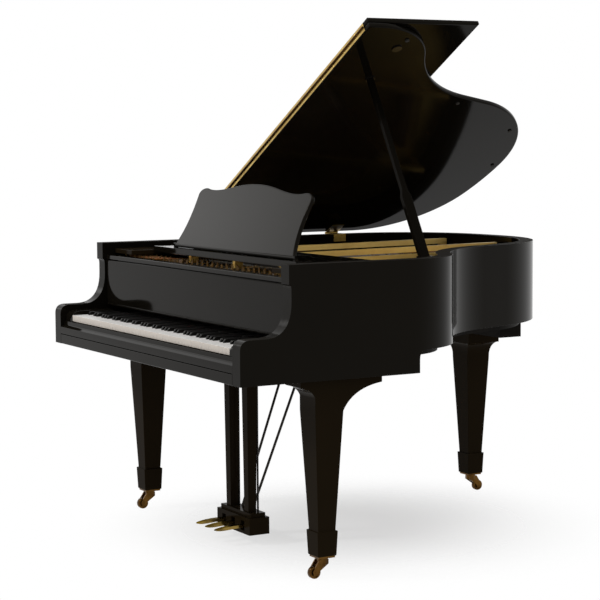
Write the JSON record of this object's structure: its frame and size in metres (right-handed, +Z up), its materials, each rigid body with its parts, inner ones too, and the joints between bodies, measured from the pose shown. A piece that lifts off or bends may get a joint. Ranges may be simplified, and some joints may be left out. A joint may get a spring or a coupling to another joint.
{
  "type": "grand piano",
  "caption": "Baby grand piano in gloss black on square tapered legs with casters: lid propped open, keyboard uncovered, music desk raised, lyre with pedals.",
  "frame": {"origin": "on the floor under the middle of the case's width and length", "axes": "+X towards the treble side, +Y towards the tail, +Z up"},
  "size_m": [1.4693, 1.6506, 1.744],
  "materials": {
    "ebony": "high-gloss black lacquer",
    "beech": "clear satin",
    "spruce": "clear satin",
    "maple": "satin",
    "gold_iron": "gold bronzed",
    "steel": "polished",
    "copper": "wound copper",
    "brass": "polished",
    "ivory": "gloss",
    "black_key": "satin",
    "red_felt": "felt",
    "white_felt": "felt",
    "rubber": "matte"
  },
  "bodies": {
    "case": {"outer_rim": "ebony", "inner_rim": "beech", "keybed": "ebony", "key_slip": "ebony", "key_blocks": "ebony", "stretcher": "ebony", "case_beams": "beech", "soundboard": "spruce", "soundboard_ribs": "spruce", "bridges": "maple", "pinblock": "beech", "iron_plate": "gold_iron", "string_pins": "steel", "plain_strings": "steel", "wound_strings": "copper", "lid_hinge_case_leaves": "brass", "prop_bracket": "steel", "desk_rails": "ebony", "leg_front_left": "ebony", "leg_front_right": "ebony", "leg_rear": "ebony", "caster_plates": "brass", "lyre_posts": "ebony", "pedal_box": "ebony", "lyre_braces": "brass"},
    "lid": {"lid_main": "ebony", "hinge_strip_main": "brass", "lid_hinge_lid_leaves": "brass", "prop_cups": "brass", "lid_bumpers": "rubber"},
    "front_lid": {"lid_front": "ebony", "hinge_strip_front": "brass"},
    "prop": {"lid_prop": "ebony"},
    "fallboard": {"fallboard": "ebony", "fallboard_felt": "red_felt"},
    "tray": {"music_tray": "ebony"},
    "desk": {"music_desk": "ebony"},
    "desk_strut": {"desk_strut": "ebony"},
    "key_frame": {"key_frame": "beech", "action_rails": "beech"},
    "white_keys": {"white_keys": "ivory"},
    "black_keys": {"black_keys": "black_key"},
    "middle_c_key": {"middle_c_key": "ivory"},
    "white_hammers": {"white_hammers": "maple"},
    "black_hammers": {"black_hammers": "maple"},
    "middle_c_hammer": {"middle_c_hammer": "maple"},
    "dampers": {"damper_heads": "black_key", "damper_felts": "white_felt"},
    "pedal_left": {"pedal_left": "brass"},
    "pedal_rod_left": {"pedal_rod_left": "steel"},
    "pedal_middle": {"pedal_middle": "brass"},
    "pedal_rod_middle": {"pedal_rod_middle": "steel"},
    "pedal_right": {"pedal_right": "brass"},
    "pedal_rod_right": {"pedal_rod_right": "steel"},
    "caster_fork_front_left": {"caster_fork_front_left": "brass"},
    "caster_wheel_front_left": {"caster_wheel_front_left": "brass"},
    "caster_fork_front_right": {"caster_fork_front_right": "brass"},
    "caster_wheel_front_right": {"caster_wheel_front_right": "brass"},
    "caster_fork_rear": {"caster_fork_rear": "brass"},
    "caster_wheel_rear": {"caster_wheel_rear": "brass"}
  },
  "joints": [
    {"name": "lid_hinge", "type": "hinge", "parent": "case", "child": "lid", "pos_m": [-0.7345, 0.07767, 0.9905], "axis": [0, -1, 0], "range_deg": [0, 8]},
    {"name": "front_lid_hinge", "type": "hinge", "parent": "lid", "child": "front_lid", "pos_m": [-0.10512, -0.26333, 1.36968], "axis": [0.8704, 0, 0.4924], "range_deg": [0, 180]},
    {"name": "prop_hinge", "type": "hinge", "parent": "case", "child": "prop", "pos_m": [0.594, -0.08933, 0.979], "axis": [0, -1, 0], "range_deg": [0, 60]},
    {"name": "fallboard_hinge", "type": "hinge", "parent": "case", "child": "fallboard", "pos_m": [0, -0.63033, 0.775], "axis": [1, 0, 0], "range_deg": [0, 90]},
    {"name": "tray_slide", "type": "slide", "parent": "case", "child": "tray", "axis": [0, -1, 0], "range_m": [0, 0.1]},
    {"name": "desk_hinge", "type": "hinge", "parent": "tray", "child": "desk", "pos_m": [0, -0.47333, 0.9853], "axis": [-1, 0, 0], "range_deg": [0, 55]},
    {"name": "desk_strut_hinge", "type": "hinge", "parent": "desk", "child": "desk_strut", "pos_m": [0, -0.41763, 1.07518], "axis": [1, 0, 0], "range_deg": [0, 110]},
    {"name": "keyboard_shift", "type": "slide", "parent": "case", "child": "key_frame", "axis": [1, 0, 0], "range_m": [0, 0.0025]},
    {"name": "white_keys_press", "type": "hinge", "parent": "key_frame", "child": "white_keys", "pos_m": [0, -0.57833, 0.714], "axis": [1, 0, 0], "range_deg": [0, 2.6], "stiffness_Nm_per_rad": 20, "springref_deg": -5.73},
    {"name": "white_hammers_swing", "type": "hinge", "parent": "key_frame", "child": "white_hammers", "pos_m": [0, -0.53333, 0.82], "axis": [1, 0, 0], "range_deg": [0, 18.3]},
    {"name": "black_keys_press", "type": "hinge", "parent": "key_frame", "child": "black_keys", "pos_m": [0, -0.57833, 0.714], "axis": [1, 0, 0], "range_deg": [0, 2.6], "stiffness_Nm_per_rad": 15, "springref_deg": -5.73},
    {"name": "black_hammers_swing", "type": "hinge", "parent": "key_frame", "child": "black_hammers", "pos_m": [0, -0.53333, 0.82], "axis": [1, 0, 0], "range_deg": [0, 18.3]},
    {"name": "middle_c_key_press", "type": "hinge", "parent": "key_frame", "child": "middle_c_key", "pos_m": [0, -0.57833, 0.714], "axis": [1, 0, 0], "range_deg": [0, 2.6], "stiffness_Nm_per_rad": 0.4, "springref_deg": -5.73},
    {"name": "middle_c_hammer_swing", "type": "hinge", "parent": "key_frame", "child": "middle_c_hammer", "pos_m": [0, -0.53333, 0.82], "axis": [1, 0, 0], "range_deg": [0, 18.3]},
    {"name": "damper_lift", "type": "slide", "parent": "case", "child": "dampers", "axis": [0, 0, 1], "range_m": [0, 0.006]},
    {"name": "pedal_left_press", "type": "hinge", "parent": "case", "child": "pedal_left", "pos_m": [-0.068, -0.44833, 0.058], "axis": [1, 0, 0], "range_deg": [0, 6.2], "stiffness_Nm_per_rad": 20, "springref_deg": -4.58},
    {"name": "pedal_rod_left_lift", "type": "slide", "parent": "case", "child": "pedal_rod_left", "axis": [0, 0, 1], "range_m": [0, 0.0033]},
    {"name": "pedal_middle_press", "type": "hinge", "parent": "case", "child": "pedal_middle", "pos_m": [0, -0.44833, 0.058], "axis": [1, 0, 0], "range_deg": [0, 6.2], "stiffness_Nm_per_rad": 20, "springref_deg": -4.58},
    {"name": "pedal_rod_middle_lift", "type": "slide", "parent": "case", "child": "pedal_rod_middle", "axis": [0, 0, 1], "range_m": [0, 0.0033]},
    {"name": "pedal_right_press", "type": "hinge", "parent": "case", "child": "pedal_right", "pos_m": [0.068, -0.44833, 0.058], "axis": [1, 0, 0], "range_deg": [0, 6.2], "stiffness_Nm_per_rad": 20, "springref_deg": -4.58},
    {"name": "pedal_rod_right_lift", "type": "slide", "parent": "case", "child": "pedal_rod_right", "axis": [0, 0, 1], "range_m": [0, 0.0033]},
    {"name": "caster_front_left_swivel", "type": "hinge", "parent": "case", "child": "caster_fork_front_left", "pos_m": [-0.635, -0.49733, 0.066], "axis": [0, 0, 1], "continuous": true},
    {"name": "caster_front_left_roll", "type": "hinge", "parent": "caster_fork_front_left", "child": "caster_wheel_front_left", "pos_m": [-0.635, -0.52733, 0.02], "axis": [1, 0, 0], "continuous": true},
    {"name": "caster_front_right_swivel", "type": "hinge", "parent": "case", "child": "caster_fork_front_right", "pos_m": [0.635, -0.49733, 0.066], "axis": [0, 0, 1], "continuous": true},
    {"name": "caster_front_right_roll", "type": "hinge", "parent": "caster_fork_front_right", "child": "caster_wheel_front_right", "pos_m": [0.635, -0.52733, 0.02], "axis": [1, 0, 0], "continuous": true},
    {"name": "caster_rear_swivel", "type": "hinge", "parent": "case", "child": "caster_fork_rear", "pos_m": [-0.288, 0.70567, 0.066], "axis": [0, 0, 1], "continuous": true},
    {"name": "caster_rear_roll", "type": "hinge", "parent": "caster_fork_rear", "child": "caster_wheel_rear", "pos_m": [-0.288, 0.73567, 0.02], "axis": [1, 0, 0], "continuous": true}
  ],
  "couplings": [
    {"joint": "desk_strut_hinge", "follows": "desk_hinge", "ratio": 2},
    {"joint": "white_hammers_swing", "follows": "white_keys_press", "ratio": 7},
    {"joint": "black_hammers_swing", "follows": "black_keys_press", "ratio": 7},
    {"joint": "middle_c_hammer_swing", "follows": "middle_c_key_press", "ratio": 7},
    {"joint": "keyboard_shift", "follows": "pedal_left_press", "m_per_rad": 0.0231},
    {"joint": "damper_lift", "follows": "pedal_right_press", "m_per_rad": 0.0554},
    {"joint": "pedal_rod_left_lift", "follows": "pedal_left_press", "m_per_rad": 0.03},
    {"joint": "pedal_rod_middle_lift", "follows": "pedal_middle_press", "m_per_rad": 0.03},
    {"joint": "pedal_rod_right_lift", "follows": "pedal_right_press", "m_per_rad": 0.03}
  ]
}
